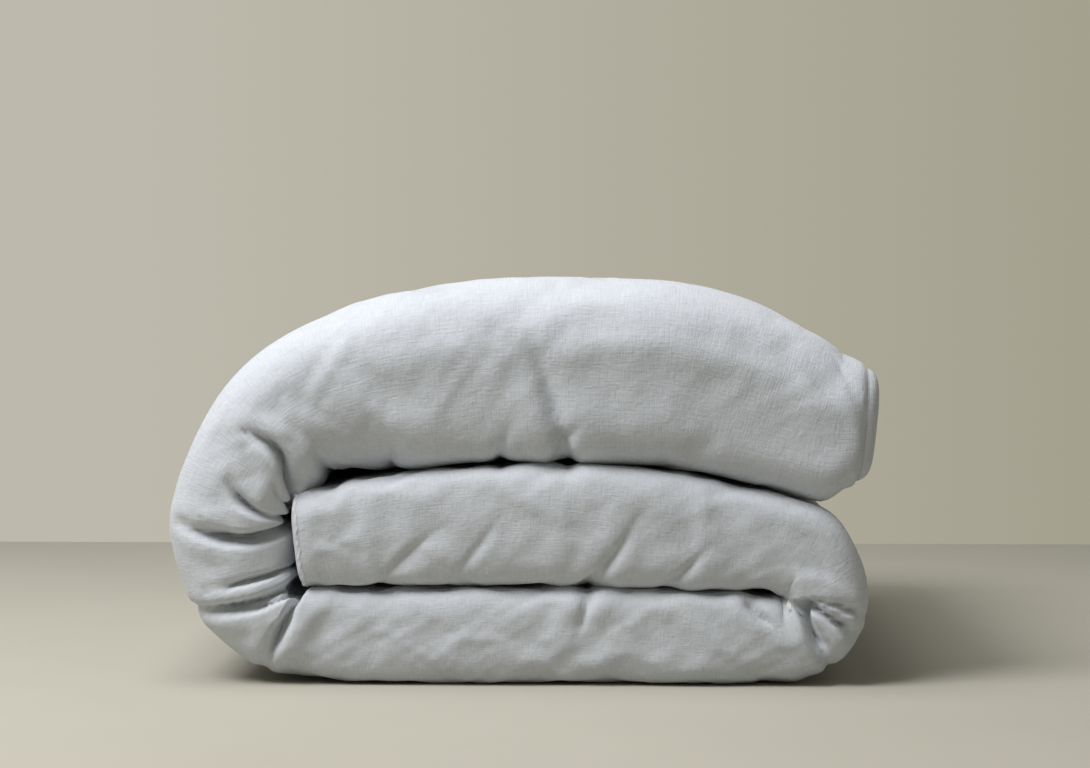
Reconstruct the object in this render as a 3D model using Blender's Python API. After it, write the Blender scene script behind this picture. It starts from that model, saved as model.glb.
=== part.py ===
"""A single duvet in its cover, folded in half along its length and then in thirds.

The duvet is drawn flat and then folded. Every piece starts as a flat slab in the
coordinates of the duvet itself: s runs along its length, u across its doubled width, and
a depth below one of its two faces. folded_point() carries such a place to where it lies
in the folded pile, so pieces that are nested flat are still nested when folded.

Metres, +Z up, +Y away from the smooth front roll, origin at the middle of the underside.
"""

import bisect
import math

import bmesh
import bpy
import numpy as np
from mathutils import Matrix, Vector

# The folded pile
FOLDED_LENGTH = 0.672      # left fold to the free end of the top flap
FOLDED_DEPTH = 0.675       # front roll to the side seams at the back
BOTTOM_THICKNESS = 0.088
MIDDLE_THICKNESS = 0.110
TOP_THICKNESS = 0.175
LEFT_FOLD_THICKNESS = 0.122
MIDDLE_END_THICKNESS = 0.070
TOP_END_THICKNESS = 0.122
RIGHT_FOLD_THICKNESS = 0.077
RIGHT_FOLD_SETBACK = 0.004  # the top flap's end stands out past the right fold
RIGHT_FOLD_LEAN = 0.012     # the fold's upper half sits back over its lower half
CREASE_RADIUS = 0.006       # inside the right fold
LAYER_GAP = 0.004           # air between two layers of the pile
CLOSURE_STANDOUT = 0.0145   # the hems and buttons past the top flap's end
END_GAP = 0.014             # room between the middle flap's end and the left fold
LEAF_GAP = 0.0020           # half the air between the two leaves of one layer

# The leaves at the back, where their long edges are sewn
EDGE_THICKNESS = 0.016
EDGE_TAPER = 0.110          # how far in from its edge a leaf reaches full thickness
SEAM_STANDOUT = 0.0043      # the sewn edge stands out behind the leaf

# Cloth and clearances
COVER_CLOTH = 0.0012
SHELL_CLOTH = 0.0008
CLOTH_GAP = 0.0010
FILL_GAP = 0.0018           # between the shell's cloth and the filling
INSERT_INSET = 0.008        # room between the insert's edge and the cover's
SEAM_WIDTH = 0.003
BAFFLE_CLOTH = 0.0012
TAPE_THICKNESS = 0.002

# Stitched rows of the insert, numbered from the middle flap's end
ROW_COUNT = 9
BASE_ROWS = 5
FOLD_ROWS = 2

# Closure
BUTTON_COUNT = 6
BUTTON_DIAMETER = 0.015
BUTTON_THICKNESS = 0.0028
HEM_OVERLAP = 0.3           # share of the end's height on which the two hems overlap

# Hinges of the fold: the crease under it and the one over it
LOWER_HINGE = (-0.240, 0.0, 0.100)
UPPER_HINGE = (-0.220, 0.0, 0.262)

PATH_SAMPLES = 1200
SETTLE = 0.0013             # the lowest layer lies flat where it comes this near the floor
ROLL_STEPS = 4              # facets round the front roll
SLIVER = 0.0008             # no cut is made this close to a slab's end


def centre_line_points():
    """Points (x, z, half thickness) on the middle of the doubled duvet, end to end."""
    left, right = -FOLDED_LENGTH / 2, FOLDED_LENGTH / 2
    bottom = BOTTOM_THICKNESS / 2
    middle_base = BOTTOM_THICKNESS + LAYER_GAP
    top_base = middle_base + MIDDLE_THICKNESS + LAYER_GAP
    end, fold = MIDDLE_END_THICKNESS / 2, LEFT_FOLD_THICKNESS / 2
    middle, top = MIDDLE_THICKNESS / 2, TOP_THICKNESS / 2
    tip = TOP_END_THICKNESS / 2
    turn = RIGHT_FOLD_THICKNESS / 2
    turn_radius = turn + CREASE_RADIUS
    turn_x = right - RIGHT_FOLD_SETBACK - turn - turn_radius
    start = left + LEFT_FOLD_THICKNESS + END_GAP
    fold_x = left + fold
    crease = 2 * turn + CREASE_RADIUS
    middle_x = (fold_x + turn_x) / 2
    flap_start = fold_x + 0.130
    flap = right - CLOSURE_STANDOUT - 0.032 - flap_start
    points = [
        (start, middle_base + end, end),
        (start + 0.025, middle_base + end + 0.003, end + 0.003),
        (start + 0.075, middle_base + 0.84 * middle, 0.84 * middle),
        (start + 0.160, middle_base + 0.98 * middle, 0.98 * middle),
        (start + 0.270, middle_base + middle, middle),
        (turn_x - 0.100, (middle_base + crease) / 2 + 0.95 * middle, 0.91 * middle),
    ]
    for degrees in (90, 45, 0, -45, -90):
        angle = math.radians(degrees)
        lean = RIGHT_FOLD_LEAN * (1 + math.sin(angle)) / 2
        across = turn_x + turn_radius * math.cos(angle) - lean
        points.append((across, turn + turn_radius * (1 + math.sin(angle)), turn))
    points += [
        (turn_x - 0.030, 0.93 * turn + 0.07 * bottom, 0.93 * turn + 0.07 * bottom),
        (middle_x + 0.130, bottom, bottom),
        (middle_x + 0.045, bottom, bottom),
        (middle_x - 0.050, bottom, bottom),
        (middle_x - 0.145, bottom, bottom),
        (fold_x + 0.040, bottom + 0.011, bottom - 0.001),
        (fold_x + 0.011, bottom + 0.042, 0.80 * fold),
        (fold_x, middle_base + 0.044, 0.98 * fold),
        (fold_x + 0.014, top_base - 0.010, 0.96 * fold),
        (fold_x + 0.065, top_base + 0.050, 0.75 * top),
        (flap_start, top_base + 0.072, 0.90 * top),
        (flap_start + 0.240 * flap, top_base + 0.985 * top, 0.985 * top),
        (flap_start + 0.495 * flap, top_base + top, top),
        (flap_start + 0.702 * flap, top_base + 0.945 * top, 0.975 * top),
        (flap_start + 0.898 * flap, top_base + 0.65 * top, 0.85 * top),
        (flap_start + flap, top_base + 0.46 * top, tip + 0.003),
        (right - CLOSURE_STANDOUT, top_base + 0.42 * top, tip),
    ]
    return points


def smooth_path(points):
    """The smooth curve through the points, with its distance along, as one array a column.
    Where the lowest layer comes within SETTLE of the floor it lies flat on it."""
    points = np.array(points)
    steps = np.linalg.norm(np.diff(points[:, :2], axis=0), axis=1)
    knots = np.concatenate([[0.0], np.cumsum(steps)])
    slopes = np.gradient(points, knots, axis=0)
    fine = np.linspace(0.0, knots[-1], PATH_SAMPLES)
    span = np.clip(np.searchsorted(knots, fine, side="right") - 1, 0, len(knots) - 2)
    length = knots[span + 1] - knots[span]
    share = ((fine - knots[span]) / length)[:, None]
    length = length[:, None]
    first, last = points[span], points[span + 1]
    curve = (
        (2 * share**3 - 3 * share**2 + 1) * first
        + (share**3 - 2 * share**2 + share) * length * slopes[span]
        + (3 * share**2 - 2 * share**3) * last
        + (share**3 - share**2) * length * slopes[span + 1]
    )
    walked = np.linalg.norm(np.diff(curve[:, :2], axis=0), axis=1)
    along = np.concatenate([[0.0], np.cumsum(walked)])
    direction = np.gradient(curve[:, :2], along, axis=0)
    direction /= np.linalg.norm(direction, axis=1)[:, None]
    underside = curve[:, 1] - np.abs(direction[:, 0]) * curve[:, 2]
    curve[:, 1] -= underside.min()
    underside -= underside.min()
    settled = 1.0 - np.clip((underside - SETTLE) / (3 * SETTLE), 0.0, 1.0)
    curve[:, 1] -= np.where(direction[:, 0] < 0, settled * underside, 0.0)
    return along, curve, direction


ALONG, CURVE, DIRECTION = smooth_path(centre_line_points())
LENGTH = float(ALONG[-1])


def half_thickness(s):
    return float(np.interp(s, ALONG, CURVE[:, 2]))


def leaf_half(s, u):
    """Half the thickness of one leaf: full over its middle, thin and rounded at its edge."""
    full = (half_thickness(s) - LEAF_GAP) / 2
    straight = FOLDED_DEPTH - SEAM_STANDOUT - half_thickness(s)
    inward = (u if u < 1.5 else 3.0 - u) * straight
    share = min(max(inward / EDGE_TAPER, 0.0), 1.0)
    return EDGE_THICKNESS / 2 + (full - EDGE_THICKNESS / 2) * math.sqrt(1 - (1 - share) ** 2)


def folded_point(s, u, level):
    """Where a place in the flat duvet lies in the pile.

    u is 0 to 1 over the upper leaf from its sewn edge to the roll, 1 to 2 round the roll
    and 2 to 3 back over the lower leaf. level is the height off the leaf's own middle.
    """
    half = half_thickness(s)
    radius = LEAF_GAP + (half - LEAF_GAP) / 2 + level
    roll_y = -FOLDED_DEPTH / 2 + half
    back_y = FOLDED_DEPTH / 2 - SEAM_STANDOUT
    if u <= 1.0:
        y, off = back_y + (roll_y - back_y) * u, radius
    elif u < 2.0:
        angle = (u - 1.0) * math.pi
        y, off = roll_y - radius * math.sin(angle), radius * math.cos(angle)
    else:
        y, off = back_y + (roll_y - back_y) * (3.0 - u), -radius
    x, z = (np.interp(s, ALONG, CURVE[:, k]) for k in (0, 1))
    run_x, run_z = (np.interp(s, ALONG, DIRECTION[:, k]) for k in (0, 1))
    return Vector((x - run_z * off, y, z + run_x * off))


def stations():
    """The distances along the duvet where slabs are cut, closer together in the folds."""
    bend = np.abs(np.gradient(np.unwrap(np.arctan2(DIRECTION[:, 1], DIRECTION[:, 0]))))
    weight = np.cumsum(bend / bend.sum() * 17 + 17 / len(bend))
    return [float(np.interp(k, weight, ALONG)) for k in range(1, int(weight[-1]))]


def inset(distance):
    """A distance in from the back edge, as a share of a leaf's straight part."""
    return distance / (FOLDED_DEPTH - TOP_THICKNESS / 2)


CUTS_ALONG = stations()
CUTS_NEAR_EDGE = [inset(INSERT_INSET), 0.035, 0.090, 0.185]
CUTS_ACROSS = (
    CUTS_NEAR_EDGE
    + [1.0 + k / ROLL_STEPS for k in range(ROLL_STEPS + 1)]
    + [3.0 - place for place in reversed(CUTS_NEAR_EDGE)]
)


GRID_ALONG = [0.0] + CUTS_ALONG + [LENGTH]
GRID_ACROSS = [0.0] + CUTS_ACROSS + [3.0]


def bracket(grid, place):
    """The cell of the grid that a place falls in, and how far across the cell it is."""
    cell = min(max(bisect.bisect_right(grid, place) - 1, 0), len(grid) - 2)
    return cell, (place - grid[cell]) / (grid[cell + 1] - grid[cell])


def placed(s, u, face, depth):
    """A place in the pile, read off one grid of flat triangles that every slab shares, so
    that slabs cut in different places still nest."""
    row, along = bracket(GRID_ALONG, s)
    column, over = bracket(GRID_ACROSS, u)

    def corner(i, j):
        s_here, u_here = GRID_ALONG[row + i], GRID_ACROSS[column + j]
        reach = leaf_half(s_here, u_here)
        level = {"outer": reach - depth, "inner": depth - reach, "share": depth * reach}
        return folded_point(s_here, u_here, level[face])

    near, far = corner(0, 0), corner(1, 1)
    if along >= over:
        side = corner(1, 0)
        return near + (side - near) * along + (far - side) * over
    side = corner(0, 1)
    return near + (side - near) * over + (far - side) * along


def new_material(name, colour, roughness, metallic=0.0):
    material = bpy.data.materials.new(name)
    material.use_nodes = True
    shader = material.node_tree.nodes["Principled BSDF"]
    shader.inputs["Base Color"].default_value = (*colour, 1.0)
    shader.inputs["Roughness"].default_value = roughness
    shader.inputs["Metallic"].default_value = metallic
    material.diffuse_color = (*colour, 1.0)
    return material


def cut_across(mesh, axis, places, low, high):
    """Cuts the slab at each place that isn't too near one of its two ends."""
    normal = Vector((0.0, 0.0, 0.0))
    normal[axis] = 1.0
    margin = SLIVER if axis == 0 else SLIVER * 4
    for place in places:
        if low + margin < place < high - margin:
            bmesh.ops.bisect_plane(
                mesh,
                geom=mesh.verts[:] + mesh.edges[:] + mesh.faces[:],
                plane_co=normal * place,
                plane_no=normal,
            )


def split_along_grid(mesh):
    """Cuts the slab's large faces in two on the diagonal that the shared grid has."""
    for face in [face for face in mesh.faces if abs(face.normal.z) > 0.5]:
        ordered = sorted(face.verts, key=lambda vertex: vertex.co.x + vertex.co.y * 1e-3)
        low = min(ordered[:2], key=lambda vertex: vertex.co.y)
        high = max(ordered[-2:], key=lambda vertex: vertex.co.y)
        bmesh.utils.face_split(face, low, high)


def folded_slab(name, span, across, low, high, material, owner):
    """One flat slab, cut at the stations and folded. low and high say where its two faces
    lie: a face of the leaf, outer or inner, and the depth below it."""
    mesh = bmesh.new()
    bmesh.ops.create_cube(mesh, size=1.0)
    bmesh.ops.scale(mesh, vec=(span[1] - span[0], across[1] - across[0], 1.0), verts=mesh.verts)
    middle = ((span[0] + span[1]) / 2, (across[0] + across[1]) / 2, 0.0)
    bmesh.ops.translate(mesh, vec=middle, verts=mesh.verts)
    cut_across(mesh, 0, CUTS_ALONG, *span)
    cut_across(mesh, 1, CUTS_ACROSS, *across)
    mesh.normal_update()
    split_along_grid(mesh)
    for vertex in mesh.verts:
        s, u, side = vertex.co
        vertex.co = placed(s, u, *(high if side > 0 else low))
    if mesh.calc_volume(signed=True) < 0:
        bmesh.ops.reverse_faces(mesh, faces=mesh.faces)
    return add_piece(name, mesh, material, owner)


def add_piece(name, mesh, material, owner):
    """Makes the mesh a named object in the duvet's collection, on its body's hinge."""
    data = bpy.data.meshes.new(name)
    mesh.to_mesh(data)
    mesh.free()
    data.materials.append(material)
    for polygon in data.polygons:
        polygon.use_smooth = True
    piece = bpy.data.objects.new(name, data)
    pieces.objects.link(piece)
    if owner is not None:
        piece.parent = owner
        piece.matrix_parent_inverse = Matrix.Translation(owner.location).inverted()
    return piece


def hinge_empty(name, place):
    empty = bpy.data.objects.new(name, None)
    empty.location = place
    pieces.objects.link(empty)
    return empty


def row_edge(row):
    """Where the stitched rows meet, as a distance along the duvet."""
    return LENGTH * row / ROW_COUNT


def skins(part, first, last, owner):
    """The four cloths of one stretch: the cover's two panels and the insert's shell."""
    cover = (first, last)
    open_start = INSERT_INSET if first == 0.0 else first
    open_end = LENGTH - INSERT_INSET if last == LENGTH else last
    insert = (open_start, open_end)
    gap = CLOTH_GAP / 2
    cover = (first if first == 0.0 else first + gap, last if last == LENGTH else last - gap)
    insert = (
        open_start if first == 0.0 else first + gap,
        open_end if last == LENGTH else last - gap,
    )
    edge = inset(INSERT_INSET)
    shell_top = COVER_CLOTH + CLOTH_GAP
    shell_floor = shell_top + SHELL_CLOTH
    whole, inner = (0.0, 3.0), (edge, 3.0 - edge)
    for side in ("outer", "inner"):
        folded_slab(
            f"cover_{side}_{part}", cover, whole,
            (side, COVER_CLOTH), (side, 0.0), linen, owner,
        )
        folded_slab(
            f"insert_shell_{side}_{part}", insert, inner,
            (side, shell_floor), (side, shell_top), cotton, owner,
        )


def edge_strips(part, first, last, owner):
    """The cover's two sewn side seams and the insert's bound sides, along the back."""
    gap = CLOTH_GAP / 2
    start = first if first == 0.0 else first + gap
    end = last if last == LENGTH else last - gap
    bound_start = INSERT_INSET if first == 0.0 else start
    bound_end = LENGTH - INSERT_INSET if last == LENGTH else end
    near, far = inset(CLOTH_GAP), inset(CLOTH_GAP + SEAM_WIDTH)
    edge = inset(INSERT_INSET)
    depth = COVER_CLOTH + 2 * CLOTH_GAP
    for leaf in ("a", "b"):
        seam, binding = (-far, -near), (edge - far, edge - near)
        if leaf == "b":
            seam, binding = (3.0 + near, 3.0 + far), (3.0 - edge + near, 3.0 - edge + far)
        folded_slab(
            f"cover_side_seam_{leaf}_{part}", (start, end), seam,
            ("inner", 0.0), ("outer", 0.0), seam_cloth, owner,
        )
        folded_slab(
            f"insert_binding_{leaf}_{part}", (bound_start, bound_end), binding,
            ("inner", depth), ("outer", depth), tape, owner,
        )


def rows_and_baffles(owners):
    """Each row of filling, and the strip of cloth sewn between it and the next."""
    edge = inset(INSERT_INSET)
    across = (edge, 3.0 - edge)
    depth = COVER_CLOTH + SHELL_CLOTH + CLOTH_GAP + FILL_GAP
    half = BAFFLE_CLOTH / 2
    for row in range(1, ROW_COUNT + 1):
        owner = owners[row - 1]
        start = row_edge(row - 1) + half + CLOTH_GAP
        end = row_edge(row) - half - CLOTH_GAP
        if row == 1:
            start = INSERT_INSET
        if row == ROW_COUNT:
            end = LENGTH - INSERT_INSET
        folded_slab(
            f"fill_row_{row}", (start, end), across,
            ("inner", depth), ("outer", depth), filling, owner,
        )
    for row in range(1, ROW_COUNT):
        owner = owners[row] if row == BASE_ROWS + FOLD_ROWS else owners[row - 1]
        middle = row_edge(row)
        folded_slab(
            f"baffle_{row}", (middle - half, middle + half), across,
            ("inner", depth), ("outer", depth), voile, owner,
        )


def ends(base, top):
    """The sewn end of the middle flap, and the buttoned opening of the top flap."""
    width = (0.0, 3.0)
    depth = COVER_CLOTH + CLOTH_GAP
    inner = (inset(INSERT_INSET), 3.0 - inset(INSERT_INSET))
    folded_slab(
        "cover_end_seam", (-CLOTH_GAP - TAPE_THICKNESS, -CLOTH_GAP), width,
        ("inner", 0.0), ("outer", 0.0), seam_cloth, base,
    )
    folded_slab(
        "insert_binding_head",
        (INSERT_INSET - CLOTH_GAP - TAPE_THICKNESS, INSERT_INSET - CLOTH_GAP),
        inner, ("inner", depth), ("outer", depth), tape, base,
    )
    foot = LENGTH - INSERT_INSET
    folded_slab(
        "insert_binding_foot",
        (foot + CLOTH_GAP, foot + CLOTH_GAP + TAPE_THICKNESS),
        inner, ("inner", depth), ("outer", depth), tape, top,
    )
    under = LENGTH + CLOTH_GAP
    over = under + TAPE_THICKNESS + CLOTH_GAP
    folded_slab(
        "opening_hem_under", (under, under + TAPE_THICKNESS), width,
        ("inner", 0.0), ("share", HEM_OVERLAP), linen, top,
    )
    folded_slab(
        "opening_hem_over", (over, over + TAPE_THICKNESS), width,
        ("share", -HEM_OVERLAP), ("outer", 0.0), linen, top,
    )
    return over + TAPE_THICKNESS + CLOTH_GAP


def buttons(distance, owner):
    """Buttons on the outer hem, half of them on each leaf, evenly along the opening."""
    half = BUTTON_COUNT // 2
    for number in range(BUTTON_COUNT):
        on_leaf = number if number < half else BUTTON_COUNT - 1 - number
        share = (on_leaf + 0.5) / half * 0.92 + 0.06
        u = share if number < half else 3.0 - share
        seat = placed(distance, u, "share", 0.0)
        sideways = placed(distance, u + 0.01, "share", 0.0) - seat
        upward = placed(distance, u, "share", 0.2) - seat
        run = sideways.cross(upward).normalized()
        if run.dot(placed(distance + 0.01, u, "share", 0.0) - seat) < 0:
            run.negate()
        middle = seat + run * (BUTTON_THICKNESS / 2)
        mesh = bmesh.new()
        bmesh.ops.create_cone(
            mesh, cap_ends=True, segments=12, depth=BUTTON_THICKNESS,
            radius1=BUTTON_DIAMETER / 2, radius2=BUTTON_DIAMETER / 2 * 0.9,
        )
        turn = run.to_track_quat("Z", "Y").to_matrix().to_4x4()
        bmesh.ops.transform(mesh, matrix=Matrix.Translation(middle) @ turn, verts=mesh.verts)
        add_piece(f"button_{number + 1}", mesh, horn, owner)


def corner_ties(base, top):
    """A tape in each corner of the cover, which holds the insert's corner."""
    edge = inset(INSERT_INSET)
    low, high = edge * 0.15, edge * 0.45
    near = (0.0010, INSERT_INSET - 3 * CLOTH_GAP - TAPE_THICKNESS)
    far = (LENGTH - near[1], LENGTH - near[0])
    places = [(near, (low, high), base), (near, (3.0 - high, 3.0 - low), base)]
    places += [(far, (low, high), top), (far, (3.0 - high, 3.0 - low), top)]
    for number, (span, across, owner) in enumerate(places, 1):
        folded_slab(
            f"corner_tie_{number}", span, across,
            ("share", -0.25), ("share", 0.25), tape, owner,
        )


for old in list(bpy.data.objects):
    bpy.data.objects.remove(old, do_unlink=True)
pieces = bpy.data.collections.new("folded_duvet")
bpy.context.scene.collection.children.link(pieces)

linen = new_material("washed_linen", (0.56, 0.57, 0.60), 0.9)
seam_cloth = new_material("linen_seam", (0.60, 0.60, 0.62), 0.9)
cotton = new_material("cotton_percale", (0.80, 0.79, 0.76), 0.85)
filling = new_material("hollow_fibre", (0.86, 0.85, 0.82), 0.95)
voile = new_material("cotton_voile", (0.74, 0.73, 0.70), 0.9)
tape = new_material("cotton_tape", (0.70, 0.69, 0.66), 0.9)
horn = new_material("corozo", (0.52, 0.50, 0.47), 0.4)

lower_hinge = hinge_empty("left_fold_axis", LOWER_HINGE)
upper_hinge = hinge_empty("top_flap_axis", UPPER_HINGE)
fold_start, fold_end = row_edge(BASE_ROWS), row_edge(BASE_ROWS + FOLD_ROWS)
sections = (
    ("base", 0.0, fold_start, None),
    ("fold", fold_start, fold_end, lower_hinge),
    ("top", fold_end, LENGTH, upper_hinge),
)
for section in sections:
    skins(*section)
    edge_strips(*section)
row_owners = (
    [None] * BASE_ROWS
    + [lower_hinge] * FOLD_ROWS
    + [upper_hinge] * (ROW_COUNT - BASE_ROWS - FOLD_ROWS)
)
rows_and_baffles(row_owners)
button_seat = ends(None, upper_hinge)
buttons(button_seat, upper_hinge)
corner_ties(None, upper_hinge)
bpy.context.view_layer.update()
print(f"length along the folded middle: {LENGTH:.3f} m; fold from {fold_start:.3f} to {fold_end:.3f}")
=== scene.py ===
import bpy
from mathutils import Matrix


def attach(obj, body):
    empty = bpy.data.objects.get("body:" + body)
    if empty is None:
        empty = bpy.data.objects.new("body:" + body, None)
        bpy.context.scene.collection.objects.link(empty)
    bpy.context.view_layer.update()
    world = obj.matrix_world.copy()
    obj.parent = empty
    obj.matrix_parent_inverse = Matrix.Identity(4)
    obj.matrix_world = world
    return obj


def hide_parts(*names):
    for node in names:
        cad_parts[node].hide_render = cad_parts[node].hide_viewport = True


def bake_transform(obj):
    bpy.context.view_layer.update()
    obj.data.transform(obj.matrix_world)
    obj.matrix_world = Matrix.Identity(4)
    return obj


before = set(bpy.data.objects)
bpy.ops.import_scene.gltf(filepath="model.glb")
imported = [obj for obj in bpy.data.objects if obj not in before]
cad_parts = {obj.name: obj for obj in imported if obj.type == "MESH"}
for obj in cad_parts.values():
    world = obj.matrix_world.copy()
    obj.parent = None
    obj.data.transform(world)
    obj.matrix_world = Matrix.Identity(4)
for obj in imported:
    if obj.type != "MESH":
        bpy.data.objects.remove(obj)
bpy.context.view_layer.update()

import math

import bpy
import numpy as np
from mathutils import Vector

# The folded duvet, in metres: +X to the top flap's free end, +Y away from the smooth roll.
pile = {
    "length": 0.672,
    "depth": 0.675,
    "bottomThickness": 0.088,
    "middleThickness": 0.110,
    "topThickness": 0.175,
    "leftFold": 0.122,
    "middleEnd": 0.074,
    "topEnd": 0.122,
    "rightFold": 0.077,
    "rightSetback": 0.004,
    "rightLean": 0.012,
    "creaseRadius": 0.006,
    "layerGap": 0.004,
    "settle": 0.0013,
    "endGap": 0.007,
    "closureStandout": 0.0145,
    "leafGap": 0.0016,
    "seamStandout": 0.0043,
    "edgeTaper": 0.120,
    "edgeThickness": 0.004,
    "rows": 9,
    "baseRows": 5,
    "foldRows": 2,
}


# Points (x, z, half thickness) down the middle of the doubled duvet, end to end.
def centreLine(size):
    left, right = -size["length"] / 2, size["length"] / 2
    bottom, gap = size["bottomThickness"] / 2, size["layerGap"]
    middleBase = size["bottomThickness"] + gap
    topBase = middleBase + size["middleThickness"] + gap
    end, fold = size["middleEnd"] / 2, size["leftFold"] / 2
    middle, top = size["middleThickness"] / 2, size["topThickness"] / 2
    tip, turn = size["topEnd"] / 2, size["rightFold"] / 2
    turnRadius = turn + size["creaseRadius"]
    turnX = right - size["rightSetback"] - turn - turnRadius
    start = left + size["leftFold"] + size["endGap"]
    foldX = left + fold
    crease = 2 * turn + size["creaseRadius"]
    middleX = (foldX + turnX) / 2
    flapStart = foldX + 0.130
    flap = right - size["closureStandout"] - 0.032 - flapStart
    # The middle layer, from its sewn end on the left.
    points = [
        (start, middleBase + end, end),
        (start + 0.025, middleBase + end + 0.003, end + 0.003),
        (start + 0.075, middleBase + 0.84 * middle, 0.84 * middle),
        (start + 0.160, middleBase + 0.98 * middle, 0.98 * middle),
        (start + 0.270, middleBase + middle, middle),
        (turnX - 0.100, (middleBase + crease) / 2 + 0.95 * middle, 0.91 * middle),
    ]
    # Half a circle round the small right fold.
    for degrees in (90, 45, 0, -45, -90):
        angle = math.radians(degrees)
        across = turnX + turnRadius * math.cos(angle)
        across -= size["rightLean"] * (1 + math.sin(angle)) / 2
        points.append((across, turn + turnRadius * (1 + math.sin(angle)), turn))
    # The bottom layer, back to the left, the large left fold and the top flap to its free end.
    points += [
        (turnX - 0.030, 0.93 * turn + 0.07 * bottom, 0.93 * turn + 0.07 * bottom),
        (middleX + 0.130, bottom, bottom),
        (middleX + 0.045, bottom, bottom),
        (middleX - 0.050, bottom, bottom),
        (middleX - 0.145, bottom, bottom),
        (foldX + 0.040, bottom + 0.011, bottom - 0.001),
        (foldX + 0.011, bottom + 0.042, 0.80 * fold),
        (foldX, middleBase + 0.044, 0.98 * fold),
        (foldX + 0.014, topBase - 0.010, 0.96 * fold),
        (foldX + 0.065, topBase + 0.050, 0.75 * top),
        (flapStart, topBase + 0.072, 0.90 * top),
        (flapStart + 0.240 * flap, topBase + 0.985 * top, 0.985 * top),
        (flapStart + 0.495 * flap, topBase + top, top),
        (flapStart + 0.702 * flap, topBase + 0.945 * top, 0.975 * top),
        (flapStart + 0.898 * flap, topBase + 0.65 * top, 0.85 * top),
        (flapStart + flap, topBase + 0.46 * top, tip + 0.003),
        (right - size["closureStandout"], topBase + 0.42 * top, tip),
    ]
    return np.array(points)


# Cubic curve through the points, each slope taken from its two neighbours: its distance
# along, its (x, z, half thickness) and its direction. Near the floor it lies flat on it.
def smoothPath(points):
    steps = np.linalg.norm(np.diff(points[:, :2], axis=0), axis=1)
    knots = np.concatenate([[0.0], np.cumsum(steps)])
    slopes = np.gradient(points, knots, axis=0)
    fine = np.linspace(0.0, knots[-1], 1200)
    span = np.clip(np.searchsorted(knots, fine, side="right") - 1, 0, len(knots) - 2)
    length = (knots[span + 1] - knots[span])[:, None]
    t = (fine - knots[span])[:, None] / length
    curve = (
        (2 * t**3 - 3 * t**2 + 1) * points[span]
        + (t**3 - 2 * t**2 + t) * length * slopes[span]
        + (3 * t**2 - 2 * t**3) * points[span + 1]
        + (t**3 - t**2) * length * slopes[span + 1]
    )
    walked = np.linalg.norm(np.diff(curve[:, :2], axis=0), axis=1)
    along = np.concatenate([[0.0], np.cumsum(walked)])
    direction = np.gradient(curve[:, :2], along, axis=0)
    direction /= np.linalg.norm(direction, axis=1)[:, None]
    underside = curve[:, 1] - np.abs(direction[:, 0]) * curve[:, 2]
    curve[:, 1] -= underside.min()
    underside -= underside.min()
    settled = 1.0 - np.clip((underside - pile["settle"]) / (3 * pile["settle"]), 0.0, 1.0)
    curve[:, 1] -= np.where(direction[:, 0] < 0, settled * underside, 0.0)
    return along, curve, direction


along, curve, direction = smoothPath(centreLine(pile))
duvetLength = float(along[-1])
print(f"folded middle line {duvetLength:.3f} m long")


# Half the layer's thickness at a distance along it, read off the path.
def halfThickness(s):
    return np.interp(s, along, curve[:, 2])


# Half of one leaf's thickness: a quarter of an ellipse in from the sewn edge, then level.
def leafHalf(s, u):
    half = halfThickness(s)
    full = (half - pile["leafGap"]) / 2
    straight = pile["depth"] - pile["seamStandout"] - half
    inward = np.where(u < 1.5, u, 3.0 - u) * straight
    share = np.clip(inward / pile["edgeTaper"], 0.0, 1.0)
    least = pile["edgeThickness"] / 2
    return least + (full - least) * np.sqrt(1 - (1 - share) ** 2)


# 3t^2 - 2t^3, where t runs from 0 to 1 between the two values.
def smoothStep(low, high, value):
    share = np.clip((value - low) / (high - low), 0.0, 1.0)
    return share * share * (3 - 2 * share)


# 1 between the two middle places and 0 outside the outer two.
def between(place, start, full, fading, end):
    return smoothStep(start, full, place) * (1 - smoothStep(fading, end, place))


# How square the front roll is, as the power of a superellipse, and how far the floor counts.
rollShape = {"free": 2.45, "pressed": 4.0, "floor": 0.75}
# Stretches of the duvet in metres from its sewn end: where each starts, is full, fades, ends.
zones = {
    "onFloor": (0.60, 0.68, 0.97, 1.06),
    "bottomLayer": (0.58, 0.62, 1.04, 1.10),
    "rightFoldFree": (0.40, 0.44, 0.57, 0.61),
    "rightFoldCreased": (0.36, 0.42, 0.80, 0.90),
}
# The same across the duvet, where 1 to 2 is the front roll.
acrossZones = {"roll": (0.84, 1.0, 2.0, 2.14), "upperLeaf": (1.2, 1.5), "turn": (1.35, 1.65)}


# 1 where that side of the layer lies on another layer, a little less on the floor, 0 where free.
def pressedShare(s, u):
    underFlap = 1 - smoothStep(0.46, 0.54, s)
    floor = between(s, *zones["onFloor"]) * rollShape["floor"]
    inside = (1 - smoothStep(0.44, 0.48, s)) + between(s, *zones["bottomLayer"])
    inside = inside + smoothStep(1.36, 1.44, s)
    side = smoothStep(*acrossZones["turn"], u)
    return np.maximum(underFlap, floor) * (1 - side) + inside * side


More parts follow.
